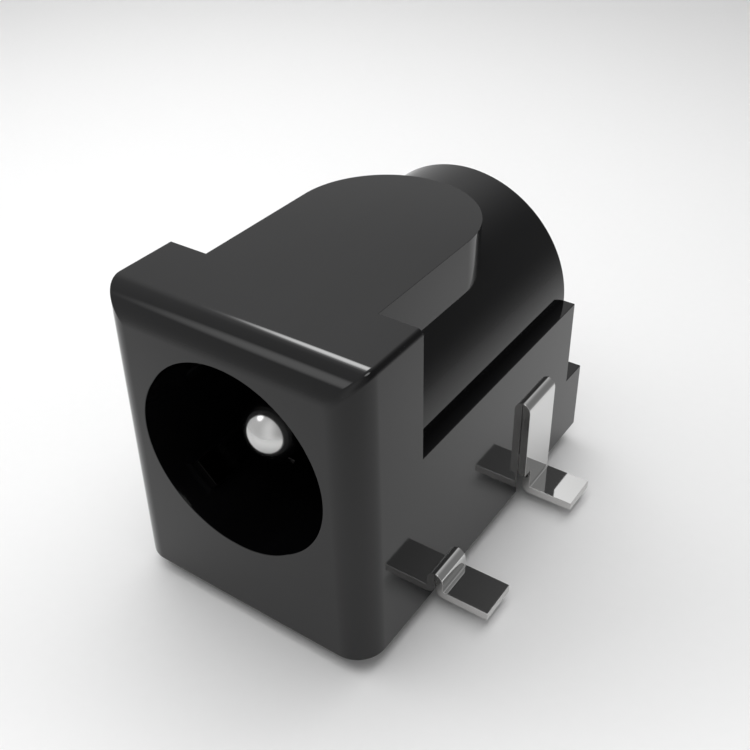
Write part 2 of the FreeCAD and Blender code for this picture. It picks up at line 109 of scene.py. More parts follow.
@dataclass
class Shell:
    """Closed surface gathered from rings of points, with values stored on its points."""

    points: list[np.ndarray] = field(default_factory=list)
    faces: list[list[int]] = field(default_factory=list)
    blanks: list[np.ndarray] = field(default_factory=list)
    cuts: list[np.ndarray] = field(default_factory=list)

    def tube(
        self, rings: np.ndarray, blank: np.ndarray | None = None, cut: np.ndarray | None = None
    ) -> Shell:
        """Skin through rings of points, closed by a flat cap at each end.

        Quad (k, j) joins points j and j + 1 of rings k and k + 1, and the last point of a ring is
        followed by its first.

        Args:
            rings: Points, as (ring, point in the ring, xyz).
            blank: Place of each point on the flat sheet before it was folded, if it is a sheet.
            cut: From 0 on a rolled face to 1 on a sheared edge, for each point.

        Returns:
            This shell.
        """
        rows, columns, _ = rings.shape
        start = sum(len(block) for block in self.points)
        index = start + np.arange(rows * columns).reshape(rows, columns)
        beside = np.roll(index, -1, axis=1)
        quads = np.stack([index[:-1], beside[:-1], beside[1:], index[1:]], axis=-1)
        self.faces += quads.reshape(-1, 4).tolist()
        self.faces += [index[0][::-1].tolist(), index[-1].tolist()]
        self.points.append(rings.reshape(-1, 3))
        self.blanks.append(np.zeros((rows * columns, 3)) if blank is None else blank.reshape(-1, 3))
        self.cuts.append(np.zeros(rows * columns) if cut is None else cut.reshape(-1))
        return self

    def mesh(self, name: str) -> bpy.types.Mesh:
        """Mesh of the shell with equal points merged and every face turned outwards.

        Args:
            name: Name of the new mesh.

        Returns:
            The mesh, still in millimetres.
        """
        mesh = bpy.data.meshes.new(name)
        mesh.from_pydata(np.concatenate(self.points).tolist(), [], self.faces)
        blank = mesh.attributes.new("blank", "FLOAT_VECTOR", "POINT")
        blank.data.foreach_set("vector", np.concatenate(self.blanks).ravel())
        cut = mesh.attributes.new("cut_edge", "FLOAT", "POINT")
        cut.data.foreach_set("value", np.concatenate(self.cuts))
        work = bmesh.new()
        work.from_mesh(mesh)
        bmesh.ops.remove_doubles(work, verts=work.verts, dist=WELD)
        bmesh.ops.recalc_face_normals(work, faces=work.faces)
        work.to_mesh(mesh)
        work.free()
        return mesh


def quarter_inset(radius: float, steps: int) -> tuple[np.ndarray, np.ndarray]:
    """Quarter round at a bar's end: depth r(1 - cos t) and inset r(1 - sin t), for t from 0 to 90.

    Args:
        radius: Radius r of the round.
        steps: Number of equal angles.

    Returns:
        Depth behind the end, and how far the section is drawn in there.
    """
    turn = np.linspace(0.0, QUARTER, steps + 1)
    return radius * (1 - np.cos(turn)), radius * (1 - np.sin(turn))


def rounded_section(
    left: np.ndarray,
    right: np.ndarray,
    low: np.ndarray,
    high: np.ndarray,
    radii: Triple,
    steps: int,
) -> np.ndarray:
    """Rectangles with rounded corners: each corner is an arc about a centre one radius inside it.

    Args:
        left, right, low, high: Edges of each rectangle, one number per section.
        radii: Corner radius of the low edges, of the high right edge and of the high left edge.
        steps: Segments in each corner's arc.

    Returns:
        Points as (section, point, 2), anticlockwise from the low right corner.
    """
    turn = np.linspace(0.0, QUARTER, steps + 1)
    foot, head, left_head = radii
    corners = [
        (right - foot, low + foot, foot, -QUARTER),
        (right - head, high - head, head, 0.0),
        (left + left_head, high - left_head, left_head, QUARTER),
        (left + foot, low + foot, foot, 2 * QUARTER),
    ]
    arcs = []
    for across, up, radius, start in corners:
        x = across[:, None] + radius * np.cos(start + turn)[None, :]
        y = up[:, None] + radius * np.sin(start + turn)[None, :]
        arcs.append(np.stack([x, y], axis=-1))
    return np.concatenate(arcs, axis=1)


@dataclass(frozen=True)
class Bar:
    """Moulded bar along the bore, with rounded long edges and rounded ends."""

    half_width: float
    low: float
    high: float
    front: float
    back: float
    head_radius: float = CRISP
    front_radius: float = CRISP
    left_flare: float = 0.0
    steps: int = 6

    def shell(self) -> Shell:
        """Rounded rectangles stacked in depth, drawn in at both ends by the quarter rounds.

        Returns:
            Shell whose left side stands out at its foot by the flare, and less the higher it is.
        """
        near, near_inset = quarter_inset(self.front_radius, 4 * self.steps)
        far, far_inset = quarter_inset(CRISP, self.steps)
        depth = np.concatenate([self.front + near, (self.back - far)[::-1]])
        inset = np.concatenate([near_inset, far_inset[::-1]])
        edge = self.half_width - inset
        low, high = np.full_like(depth, self.low), self.high - inset
        section = rounded_section(-edge, edge, low, high, (CRISP, self.head_radius, CRISP), self.steps)
        rings = np.empty(section.shape[:2] + (3,))
        lean = self.left_flare * (self.high - section[..., 1]) / (self.high - self.low)
        rings[..., 0] = section[..., 0] - np.where(section[..., 0] < 0, lean, 0.0)
        rings[..., 1] = depth[:, None]
        rings[..., 2] = section[..., 1]
        return Shell().tube(rings)


@dataclass(frozen=True)
class Turned:
    """Body of revolution about a line along the bore: (x, z) = centre + radius (sin t, cos t)."""

    profile: list[Pair]
    segments: int
    across: float = 0.0
    height: float = AXIS_HEIGHT

    def shell(self) -> Shell:
        """Circles of the profile's radii, one at each of its depths."""
        depth, radius = np.array(self.profile).T
        turn = np.linspace(0.0, 2 * math.pi, self.segments, endpoint=False)
        rings = np.empty((len(depth), self.segments, 3))
        rings[..., 0] = self.across + radius[:, None] * np.sin(turn)
        rings[..., 1] = depth[:, None]
        rings[..., 2] = self.height + radius[:, None] * np.cos(turn)
        return Shell().tube(rings)


def arc_profile(centre: Pair, radius: float, start: float, stop: float, steps: int) -> list[Pair]:
    """Arc of a turned profile: (depth, radius) = centre + r (cos t, sin t), with t in degrees."""
    turn = np.radians(np.linspace(start, stop, steps + 1))
    depth = centre[0] + radius * np.cos(turn)
    out = centre[1] + radius * np.sin(turn)
    return list(zip(depth.tolist(), out.tolist()))


def box_shell(x: Pair, y: Pair, z: Pair) -> Shell:
    """Plain box between two values on each axis."""
    ring = ((x[0], z[0]), (x[1], z[0]), (x[1], z[1]), (x[0], z[1]))
    return Shell().tube(np.array([[(across, depth, up) for across, up in ring] for depth in y]))


def linked(thing: bpy.types.Object) -> bpy.types.Object:
    """Put an object into the scene and give it back."""
    bpy.context.scene.collection.objects.link(thing)
    return thing


def carved(name: str, base: Shell, tools: list[tuple[Carve, Shell]]) -> bpy.types.Mesh:
    """Shell with other shells united with it or subtracted from it, in order.

    Args:
        name: Name of the resulting mesh.
        base: Shell to start from.
        tools: What to do with each further shell.

    Returns:
        One closed mesh, still in millimetres.
    """
    work = linked(bpy.data.objects.new(name + "_work", base.mesh(name + "_base")))
    helpers = []
    for number, (operation, shell) in enumerate(tools):
        helpers.append(linked(bpy.data.objects.new("%s_tool_%d" % (name, number), shell.mesh("tool"))))
        modifier = work.modifiers.new("carve_%d" % number, "BOOLEAN")
        modifier.operation = operation.value
        modifier.solver = "EXACT"
        modifier.object = helpers[-1]
    bpy.context.view_layer.update()
    graph = bpy.context.evaluated_depsgraph_get()
    mesh = bpy.data.meshes.new_from_object(work.evaluated_get(graph))
    mesh.name = name
    for thing in [work] + helpers:
        bpy.data.objects.remove(thing)
    return mesh


def set_soft_normals(mesh: bpy.types.Mesh) -> None:
    """Give each face corner the mean normal of the faces round its point, weighted by area.

    Only faces that lean less than the crease angle from the corner's own face count, so an edge stays
    sharp, and a flat face that runs into a fillet stays flat because its area outweighs the fillet's.

    Args:
        mesh: Mesh to shade.
    """
    corners = len(mesh.loops)
    point = np.empty(corners, dtype=np.int64)
    mesh.loops.foreach_get("vertex_index", point)
    count = np.empty(len(mesh.polygons), dtype=np.int64)
    mesh.polygons.foreach_get("loop_total", count)
    face = np.repeat(np.arange(len(count)), count)
    normal = np.empty(len(count) * 3)
    mesh.polygons.foreach_get("normal", normal)
    normal = normal.reshape(-1, 3)
    area = np.empty(len(count))
    mesh.polygons.foreach_get("area", area)
    order = np.argsort(point, kind="stable")
    group_size = np.bincount(point, minlength=len(mesh.vertices))
    group_start = np.cumsum(group_size) - group_size
    size = group_size[point]
    first = np.repeat(np.arange(corners), size)
    step = np.arange(len(first)) - np.repeat(np.cumsum(size) - size, size)
    second = order[group_start[point[first]] + step]
    mine, other = normal[face[first]], normal[face[second]]
    near = np.einsum("ij,ij->i", mine, other) > math.cos(CREASE)
    weight = np.where(near, area[face[second]], 0.0)
    sums = [np.bincount(first, weight * other[:, axis], corners) for axis in range(3)]
    summed = np.stack(sums, axis=-1)
    length = np.linalg.norm(summed, axis=1, keepdims=True)
    soft = np.where(length > 0, summed / np.maximum(length, 1e-12), normal[face])
    mesh.polygons.foreach_set("use_smooth", np.ones(len(count), dtype=bool))
    mesh.normals_split_custom_set(soft.tolist())


@dataclass(frozen=True)
class Plane:
    """Drawing plane of a folded strip: a point is origin + u * along + v * up + w * width."""

    along: Triple
    up: Triple
    width: Triple
    origin: Triple = (0.0, 0.0, 0.0)


ACROSS = Plane(along=(1, 0, 0), up=(0, 0, 1), width=(0, 1, 0))
LENGTHWISE = Plane(along=(0, 1, 0), up=(0, 0, 1), width=(1, 0, 0))


@dataclass(frozen=True)
class Strip:
    """Strip of sheet folded along a path.

    The path is the sheet's middle plane: straight runs between corners, with an arc in each. The
    section carried along it is a rectangle of the sheet's gauge with its edges eased.
    """

    corners: list[Pair]
    bend_radius: float
    edges: list[Triple]
    gauge: float = 0.3
    ease: float = 0.012
    bend_steps: int = 12

    def path(self) -> tuple[np.ndarray, np.ndarray, np.ndarray]:
        """Samples of the path: at each inner corner the arc starts and ends R tan(turn / 2) from it.

        Returns:
            Distance along the path, place and direction at each sample.
        """
        corner = np.array(self.corners, dtype=float)
        run = np.diff(corner, axis=0)
        heading = run / np.linalg.norm(run, axis=1, keepdims=True)
        places, headings = [corner[:1]], [heading[:1]]
        for before, after, spot in zip(heading[:-1], heading[1:], corner[1:-1]):
            turn = math.atan2(before[0] * after[1] - before[1] * after[0], float(before @ after))
            hand = math.copysign(1.0, turn)
            aside = np.array([-before[1], before[0]])
            reach = self.bend_radius * math.tan(abs(turn) / 2)
            centre = spot - before * reach + hand * aside * self.bend_radius
            angle = np.linspace(0.0, turn, self.bend_steps + 1)
            cosine, sine = np.cos(angle)[:, None], np.sin(angle)[:, None]
            places.append(centre - hand * self.bend_radius * (aside * cosine - before * sine))
            headings.append(before * cosine + aside * sine)
        places.append(corner[-1:])
        headings.append(heading[-1:])
        place, direction = np.concatenate(places), np.concatenate(headings)
        steps = np.linalg.norm(np.diff(place, axis=0), axis=1)
        return np.concatenate([[0.0], np.cumsum(steps)]), place, direction

    def add_to(self, shell: Shell, plane: Plane) -> Shell:
        """Carry the section along the path: place + heading's normal * thickness + width * across.

        Args:
            shell: Shell that takes the strip.
            plane: Where the strip's drawing plane lies.

        Returns:
            The same shell.
        """
        distance, place, heading = self.path()
        depth, _ = quarter_inset(self.ease, EDGE_STEPS)
        marks, low, high = np.array(self.edges).T
        total = distance[-1]
        between = marks[(marks > 0) & (marks < total)]
        stations = np.unique(np.concatenate([distance, between, depth, total - depth]))
        spot = np.stack([np.interp(stations, distance, place[:, k]) for k in range(2)], axis=-1)
        ahead = np.stack([np.interp(stations, distance, heading[:, k]) for k in range(2)], axis=-1)
        ahead /= np.linalg.norm(ahead, axis=1, keepdims=True)
        short = np.clip(self.ease - np.minimum(stations, total - stations), 0.0, self.ease)
        inset = self.ease - np.sqrt(np.maximum(self.ease**2 - short**2, 0.0))
        left = np.interp(stations, marks, low) + inset
        right = np.interp(stations, marks, high) - inset
        thick = self.gauge / 2 - inset
        section = rounded_section(left, right, -thick, thick, (self.ease,) * 3, EDGE_STEPS)
        across, out = section[..., 0], section[..., 1]
        side = np.stack([-ahead[:, 1], ahead[:, 0]], axis=-1)
        flat = spot[:, None, :] + side[:, None, :] * out[..., None]
        along, up, width = np.array([plane.along, plane.up, plane.width], dtype=float)
        rings = flat[..., :1] * along + flat[..., 1:] * up + across[..., None] * width
        rings += plane.origin
        blank = np.stack(np.broadcast_arrays(stations[:, None], across, out), axis=-1)
        middle, half = (left + right)[:, None] / 2, (right - left)[:, None] / 2
        beyond = np.abs(across - middle) - (half - self.ease)
        cut = np.maximum(np.clip(beyond / self.ease, 0.0, 1.0), (short / self.ease)[:, None])
        return shell.tube(rings, blank, cut)


@dataclass(frozen=True)
class TabForm:
    """Sizes that all soldered tabs share, and the folds that follow from them."""

    half_body: float = 4.5
    gauge: float = 0.3
    bend_inside: float = 0.05
    stand_off: float = 0.25
    foot_end: float = 6.45
    foot_width: float = 1.45
    foot_centre: float = 4.58
    foot_pitch: float = 6.0
    front_leg_top: float = 0.7
    rear_leg_top: float = 4.0
    shoulder_width: float = 0.43
    shoulder_height: float = 0.85
    shoulder_run: float = 0.02
    lap: float = 0.03

    @property
    def bend_radius(self) -> float:
        """Radius of the sheet's middle plane in a tight bend."""
        return self.bend_inside + self.gauge / 2

    @property
    def front_span(self) -> Pair:
        """Depths of a front tab's front and rear faces."""
        return self.foot_centre - self.foot_width / 2, self.foot_centre + self.foot_width / 2

    @property
    def rear_back(self) -> float:
        """Depth of the rear tabs' and the ear's rear faces."""
        return self.front_span[1] + self.foot_pitch

    @property
    def shoulder_front(self) -> float:
        """Depth of a rear tab's front face above its shoulder."""
        return self.rear_back - self.foot_width - self.shoulder_width

    @property
    def corner_loss(self) -> float:
        """How much shorter a right-angled bend of the middle plane is than its square corner."""
        return 2 * self.bend_radius * (1 - math.pi / 4)

    def outer_path(self, side: Side, leg_top: float, inner_end: float) -> list[Pair]:
        """Foot, plate and leg of a tab as corners of the sheet's middle plane, from the foot's end."""
        middle = self.gauge / 2
        foot, plate, leg = middle - self.stand_off, self.half_body + middle, leg_top - middle
        path = [(self.foot_end, foot), (plate, foot), (plate, leg), (inner_end, leg)]
        return [(side.value * x, z) for x, z in path]

    def front_edges(self) -> list[Triple]:
        """A front tab's low and high edge in depth, the same all along it."""
        return [(0.0, *self.front_span), (PAST_END, *self.front_span)]

    def rear_edges(self) -> list[Triple]:
        """A rear tab's edges: its foot's width up to the shoulder, then wider towards the mouth."""
        low, high, wide = self.rear_back - self.foot_width, self.rear_back, self.shoulder_front
        foot_run = self.foot_end - self.half_body - self.gauge / 2
        shoulder = foot_run + self.shoulder_height + self.stand_off - self.gauge / 2 - self.corner_loss
        widened = shoulder + self.shoulder_run
        return [(0.0, low, high), (shoulder, low, high), (widened, wide, high), (PAST_END, wide, high)]


class Value:
    """A shader socket in sums: each operator adds one Math node."""

    def __init__(self, bench: Bench, socket: Socket) -> None:
        """Keep the bench that adds nodes, and the socket."""
        self.bench, self.socket = bench, socket

    def _math(self, operation: str, first: Value | float, second: Value | float) -> Value:
        """Math node of an operation on two numbers."""
        node = self.bench.node("ShaderNodeMath", {"operation": operation}, {0: first, 1: second})
        return Value(self.bench, node.outputs[0])

    def __add__(self, other: Value | float) -> Value:
        """Sum."""
        return self._math("ADD", self, other)

    __radd__ = __add__

    def __sub__(self, other: Value | float) -> Value:
        """Difference."""
        return self._math("SUBTRACT", self, other)

    def __rsub__(self, other: Value | float) -> Value:
        """Difference from a number."""
        return self._math("SUBTRACT", other, self)

    def __mul__(self, other: Value | float) -> Value:
        """Product."""
        return self._math("MULTIPLY", self, other)

    __rmul__ = __mul__


class Bench:
    """Builds the node tree of one material, or of the room's light."""

    def __init__(self, owner: bpy.types.Material | bpy.types.World) -> None:
        """Empty the owner's node tree."""
        self.owner = owner
        owner.use_nodes = True
        self.tree = owner.node_tree
        self.tree.nodes.clear()

    def node(
        self, kind: str, settings: dict | None = None, inputs: dict | None = None
    ) -> bpy.types.Node:
        """Any node.

        Args:
            kind: Node type.
            settings: Attributes, set before the sockets.
            inputs: Values or links by socket name or number.

        Returns:
            The new node.
        """
        made = self.tree.nodes.new(kind)
        for key, value in (settings or {}).items():
            setattr(made, key, value)
        for key, value in (inputs or {}).items():
            if isinstance(value, Value):
                self.tree.links.new(value.socket, made.inputs[key])
            elif isinstance(value, Socket):
                self.tree.links.new(value, made.inputs[key])
            else:
                made.inputs[key].default_value = value
        return made

    def noise(
        self, place: Socket, scale: float, detail: float, stretch: Triple = (1.0, 1.0, 1.0)
    ) -> Value:
        """Soft noise from 0 to 1, with scale waves per unit of a place multiplied axis by axis."""
        multiply = {"operation": "MULTIPLY"}
        spot = self.node("ShaderNodeVectorMath", multiply, {0: place, 1: stretch}).outputs[0]
        made = self.node("ShaderNodeTexNoise", {}, {"Vector": spot, "Scale": scale, "Detail": detail})
        return Value(self, made.outputs[0])

    def toward(self, place: Socket, direction: Vector, start: float, stop: float) -> Value:
        """Smooth step, from 0 to 1, of how far a place or a unit vector reaches in a direction."""
        dot = self.node("ShaderNodeVectorMath", {"operation": "DOT_PRODUCT"}, {0: place, 1: direction})
        return self.step(dot.outputs["Value"], start, stop)

    def step(self, number: Socket, start: float, stop: float) -> Value:
        """Smooth step of a number, from 0 at the start to 1 at the stop."""
        settings = {"interpolation_type": "SMOOTHSTEP"}
        made = self.node("ShaderNodeMapRange", settings, {0: number, 1: start, 2: stop})
        return Value(self, made.outputs[0])

    def ramp(self, value: Value, start: float, stop: float) -> Value:
        """Straight rise from black at the start to white at the stop."""
        made = self.node("ShaderNodeValToRGB", {}, {0: value})
        for element, place in zip(made.color_ramp.elements, (start, stop)):
            element.position = place
        return Value(self, made.outputs[0])

    def blend(self, factor: Value, first: Socket | Colour, second: Socket | Colour) -> Socket:
        """Colour between two colours."""
        made = self.node("ShaderNodeMix", {"data_type": "RGBA"}, {0: factor, 6: first, 7: second})
        return made.outputs[2]

    def finish(self, surface: dict, height: Value, depth: float) -> bpy.types.Material:
        """Principled surface with a height map under its normal.

        Args:
            surface: Principled sockets by name.
            height: Height from 0 to 1.
            depth: What a height of 1 is in metres.

        Returns:
            The finished material.
        """
        relief = {"Height": height, "Distance": depth, "Strength": 1.0}
        bump = self.node("ShaderNodeBump", {}, relief)
        surface = {**surface, "Normal": bump.outputs[0]}
        shader = self.node("ShaderNodeBsdfPrincipled", {}, surface)
        self.node("ShaderNodeOutputMaterial", {}, {"Surface": shader.outputs[0]})
        return self.owner


@dataclass(frozen=True)
class GlossyPlastic:
    """Black moulding compound out of a polished mould."""

    colour: Colour = (0.0015, 0.0015, 0.0017, 1.0)
    dusty: Colour = (0.004, 0.004, 0.0045, 1.0)
    polish: float = 0.045
    haze: float = 0.04
    index: float = 1.4
    flow_stretch: Triple = (1.0, 0.45, 1.0)
    flow_scale: float = 420.0
    grain_scale: float = 5200.0
    hazed: Pair = (0.35, 0.7)
    cloud_dust: float = 0.5
    grain_dust: float = 0.3
    wave_share: float = 0.8
    grain_share: float = 0.02
    wave_depth: float = 4.0e-6

    def material(self) -> bpy.types.Material:
        """Even gloss, hazed here and there, over a surface that waves very slightly."""
        bench = Bench(bpy.data.materials.new("glossy_plastic"))
        place = bench.node("ShaderNodeTexCoord").outputs["Object"]
        flow = bench.noise(place, self.flow_scale, 3.0, self.flow_stretch)
        grain = bench.noise(place, self.grain_scale, 4.0)
        clouds = bench.ramp(flow, *self.hazed)
        rough = self.polish + self.haze * clouds * grain
        dust = clouds * self.cloud_dust + grain * self.grain_dust
        colour = bench.blend(dust, self.colour, self.dusty)
        height = flow * self.wave_share + grain * self.grain_share
        surface = {"Base Color": colour, "Roughness": rough, "IOR": self.index}
        return bench.finish(surface, height, self.wave_depth)


@dataclass(frozen=True)
class BrightSheet:
    """Tin-plated sheet: fine rolling lines on its faces, a duller torn band on its sheared edges."""

    face: Colour = (0.69, 0.69, 0.685, 1.0)
    edge: Colour = (0.55, 0.54, 0.53, 1.0)
    # Painted shade: this near-black colour is painted over the sheet where it lies inside the housing,
    # standing in for the shade in the bore.
    painted_shade: Colour = (0.015, 0.015, 0.015, 1.0)
    polish: float = 0.02
    torn: float = 0.22
    line_haze: float = 0.05
    line_stretch: Triple = (0.6, 16.0, 1.0)
    line_scale: float = 3.0
    line_share: float = 0.2
    spot_scale: float = 5.0
    shear_stretch: Triple = (22.0, 22.0, 1.5)
    torn_least: float = 0.4
    relief: float = 1.0e-6
    # Whether the painted shade is used, how much rougher the painted part gets, and the x, in metres,
    # over which the painted shade sets in.
    with_painted_shade: bool = False
    painted_shade_haze: float = 0.2
    painted_shade_edge: Pair = (-0.0036, -0.0033)

    def material(self) -> bpy.types.Material:
        """Metal whose pattern follows the flat sheet, so that it turns with every fold."""
        bench = Bench(bpy.data.materials.new("painted_shade_sheet" if self.with_painted_shade else "bright_sheet"))
        blank = bench.node("ShaderNodeAttribute", {"attribute_name": "blank"}).outputs["Vector"]
        cut_edge = bench.node("ShaderNodeAttribute", {"attribute_name": "cut_edge"})
        cut = Value(bench, cut_edge.outputs["Fac"])
        lines = bench.noise(blank, self.line_scale, 4.0, self.line_stretch)
        spots = bench.noise(blank, self.spot_scale, 3.0)
        shear = bench.noise(blank, 1.0, 3.0, self.shear_stretch)
        rough = self.polish + self.line_haze * lines * spots + self.torn * cut * shear
        torn = cut * (self.torn_least + (1.0 - self.torn_least) * shear)
        colour = bench.blend(torn, self.face, self.edge)
        # Painted shade: the sheet nearer the middle than x = -3.6 to -3.3 mm, inside the housing, is
        # painted near black and made rougher.
        if self.with_painted_shade:
            place = bench.node("ShaderNodeTexCoord").outputs["Object"]
            shade_mask = bench.toward(place, Vector((1.0, 0.0, 0.0)), *self.painted_shade_edge)
            colour = bench.blend(shade_mask, colour, self.painted_shade)
            rough = rough + self.painted_shade_haze * shade_mask
        height = (1.0 - cut) * lines * self.line_share + cut * shear
        surface = {"Base Color": colour, "Metallic": 1.0, "Roughness": rough}
        return bench.finish(surface, height, self.relief)


@dataclass(frozen=True)
class TurnedNickel:
    """Nickel-plated pin with the fine rings that turning leaves."""

    colour: Colour = (0.54, 0.54, 0.535, 1.0)
    rubbed: Colour = (0.60, 0.60, 0.595, 1.0)
    # Painted shade: near-black colour painted on the shaft and collar deep in the bore, between the two
    # depth ranges below (metres from the part's origin), standing in for the shade there.
    painted_shade: Colour = (0.02, 0.02, 0.02, 1.0)
    painted_shade_from: Pair = (0.001, 0.002)
    painted_shade_to: Pair = (0.007, 0.0075)
    polish: float = 0.12
    ring_haze: float = 0.06
    ring_stretch: Triple = (1.0, 60.0, 1.0)
    ring_scale: float = 300.0
    streak_stretch: Triple = (8.0, 0.6, 8.0)
    streak_scale: float = 400.0
    relief: float = 1.0e-6

    def material(self) -> bpy.types.Material:
        """Rings that vary along the pin, with rubbed streaks along it."""
        bench = Bench(bpy.data.materials.new("turned_nickel"))
        place = bench.node("ShaderNodeTexCoord").outputs["Object"]
        rings = bench.noise(place, self.ring_scale, 3.0, self.ring_stretch)
        streaks = bench.noise(place, self.streak_scale, 3.0, self.streak_stretch)
        # Painted shade: the pin's colour goes to near black, rising from 3.6 to 4.6 mm behind the front
        # face and falling back from 9.6 to 10.1 mm, where the bore is in shade.
        rear = Vector((0.0, 1.0, 0.0))
        shade_begins = bench.toward(place, rear, *self.painted_shade_from)
        shade_ends = bench.toward(place, rear, *self.painted_shade_to)
        clean = bench.blend(streaks, self.colour, self.rubbed)
        colour = bench.blend(shade_begins - shade_ends, clean, self.painted_shade)
        rough = self.polish + self.ring_haze * rings * streaks
        surface = {"Base Color": colour, "Metallic": 1.0, "Roughness": rough}
        return bench.finish(surface, rings, self.relief)


@dataclass(kw_only=True)
class Piece:
    """Piece of the jack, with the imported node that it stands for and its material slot."""

    node: str
    slot: Slot = Slot.SHEET
    tabs: TabForm = field(default_factory=TabForm)

    def shape(self) -> bpy.types.Mesh:
        """Closed mesh of the piece, in millimetres in the mouth's frame."""
        raise NotImplementedError

    def build(self, material: bpy.types.Material) -> bpy.types.Object:
        """Shape the piece, move it to the part's frame in metres and let it stand for its node."""
        mesh = self.shape()
        set_soft_normals(mesh)
        mesh.transform(Matrix.Scale(METRES, 4) @ Matrix.Translation(-Vector(PART_ORIGIN)))
        mesh.materials.clear()
        mesh.materials.append(material)
        piece = linked(bpy.data.objects.new(self.node + "_skin", mesh))
        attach(piece, "root")
        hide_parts(self.node)
        return piece


@dataclass(kw_only=True)
class Housing(Piece):
    """The moulding: front block, half-sunk barrel, rib on top, lower box, ledge, bore and rooms."""

    node: str = "housing"
    slot: Slot = Slot.PLASTIC
    height: float = 10.5
    length: float = 13.0
    block_length: float = 3.1
    block_flare: float = 0.4
    front_round: float = 1.0
    edge_round: float = 0.2
    crisp: float = 0.01
    barrel_radius: float = 4.075
    rib_half_width: float = 3.075
    rib_length: float = 10.9
    ledge_length: float = 1.2
    ledge_height: float = 2.75
    bore_radius: float = 3.25
    bore_depth: float = 9.0
    relief_radius: float = 3.2
    relief_shift: float = 0.3
    rim: float = 0.02
    pin_hole_radius: float = 1.02
    rivet_access_radius: float = 1.4
    peg_radius: float = 0.8
    peg_length: float = 0.65
    peg_chamfer: float = 0.15
    peg_depths: Pair = (2.6, 7.1)
    overlap: float = 1.5
    sunk: float = 0.5
    clear: float = 1.0
    fit_gap: float = 0.02
    spring_room_inner: float = 1.7
    spring_room_outer: float = 3.3
    leaf_room_top: float = 4.054
    finger_room_top: float = 3.3

    def rib(self) -> Shell:
        """Rings of one outline at rising heights: straight sides, then a half circle at the rear.

        Returns:
            Shell whose top edge is eased by drawing the last rings in.
        """
        fall, inset = quarter_inset(self.crisp, EDGE_STEPS)
        level = np.concatenate([[AXIS_HEIGHT + self.sunk], (self.height - fall)[::-1]])
        half = self.rib_half_width - np.concatenate([[0.0], inset[::-1]])
        turn = np.linspace(0.0, math.pi, 97)
        straight = self.rib_length - self.rib_half_width
        x = np.concatenate([-half[:, None], half[:, None], half[:, None] * np.cos(turn)], axis=1)
        start = np.full((len(level), 2), self.overlap)
        y = np.concatenate([start, straight + half[:, None] * np.sin(turn)], axis=1)
        z = np.broadcast_to(level[:, None], x.shape)
        return Shell().tube(np.stack([x, y, z], axis=-1))

    def barrel(self) -> Shell:
        """Barrel along the bore, its rear edge eased."""
        centre = (self.length - self.crisp, self.barrel_radius - self.crisp)
        rear = arc_profile(centre, self.crisp, 90.0, 0.0, EDGE_STEPS)
        return Turned([(self.overlap, self.barrel_radius), *rear], 256).shell()

    def flared(self, radius: float, across: float, height: float) -> Shell:
        """Cutter for the bore, widened at the mouth by the rim's round."""
        flare = arc_profile((self.rim, radius + self.rim), self.rim, 180.0, 270.0, 5)
        profile = [(-self.clear, radius + self.rim), *flare, (self.bore_depth, radius)]
        return Turned(profile, 224, across, height).shell()

    def hole(self, front: float, back: float, radius: float) -> Shell:
        """Straight cutter on the bore's axis."""
        return Turned([(front, radius), (back, radius)], 96).shell()

    def peg(self, depth: float) -> Shell:
        """Locating peg: rings of falling height, drawn in at the end by its chamfer."""
        level = np.array([self.sunk, self.peg_chamfer - self.peg_length, -self.peg_length])
        radius = np.array([self.peg_radius, self.peg_radius, self.peg_radius - self.peg_chamfer])
        turn = np.linspace(0.0, 2 * math.pi, 72, endpoint=False)
        x = radius[:, None] * np.cos(turn)
        y = depth + radius[:, None] * np.sin(turn)
        return Shell().tube(np.stack([x, y, np.broadcast_to(level[:, None], x.shape)], axis=-1))

    def rooms(self) -> list[Shell]:
        """Rooms that the four stampings are pushed up into from the underside."""
        tab, gap, ear = self.tabs, self.fit_gap, PinTerminal()
        front = (tab.front_span[0] - gap, tab.front_span[1] + gap)
        far = tab.rear_back + gap
        rear = (tab.shoulder_front - gap, far)
        beyond, half_ear = tab.half_body + self.clear, ear.ear_half_width + gap
        front_top, rear_top = tab.front_leg_top + gap, tab.rear_leg_top + gap
        inner, outer, blade = -self.spring_room_inner, -self.spring_room_outer, BLADE_END - gap
        spans = [
            ((-half_ear, beyond), rear, rear_top),
            ((-half_ear, half_ear), (far - tab.gauge - 2 * gap, far), ear.ear_top + gap),
            ((-beyond, inner), rear, rear_top),
            ((outer, inner), (front[0], far), self.leaf_room_top),
            ((-beyond, outer), front, front_top),
            ((outer, gap - FINGER_END), front, self.finger_room_top),
            ((blade, beyond), front, front_top),
            ((blade, BLADE_END + tab.gauge + gap), front, UPRIGHT_TOP + gap),
        ]
        return [box_shell(x, y, (-self.clear, top)) for x, y, top in spans]

    def shape(self) -> bpy.types.Mesh:
        """Outer forms united, with the bore, the pin's hole and the rooms cut out of them."""
        half = self.tabs.half_body
        trim = (self.edge_round, self.front_round, self.block_flare)
        block = Bar(half, 0.0, self.height, 0.0, self.block_length, *trim)
        lower = Bar(half, 0.0, AXIS_HEIGHT, self.overlap, self.length)
        ledge_end = self.length + self.ledge_length
        ledge = Bar(half, 0.0, self.ledge_height, self.length - self.overlap, ledge_end)
        slant = self.relief_shift * math.sqrt(0.5)
        seat = self.tabs.rear_back
        forms = [lower.shell(), ledge.shell(), self.barrel(), self.rib()]
        forms += [self.peg(depth) for depth in self.peg_depths]
        tools = [(Carve.UNITE, shell) for shell in forms]
        cutters = [
            self.flared(self.bore_radius, 0.0, AXIS_HEIGHT),
            self.flared(self.relief_radius, -slant, AXIS_HEIGHT - slant),
            self.hole(self.bore_depth - self.sunk, seat, self.pin_hole_radius),
            self.hole(seat, self.length + self.clear, self.rivet_access_radius),
        ]
        tools += [(Carve.SUBTRACT, shell) for shell in cutters + self.rooms()]
        return carved("housing_mesh", block.shell(), tools)


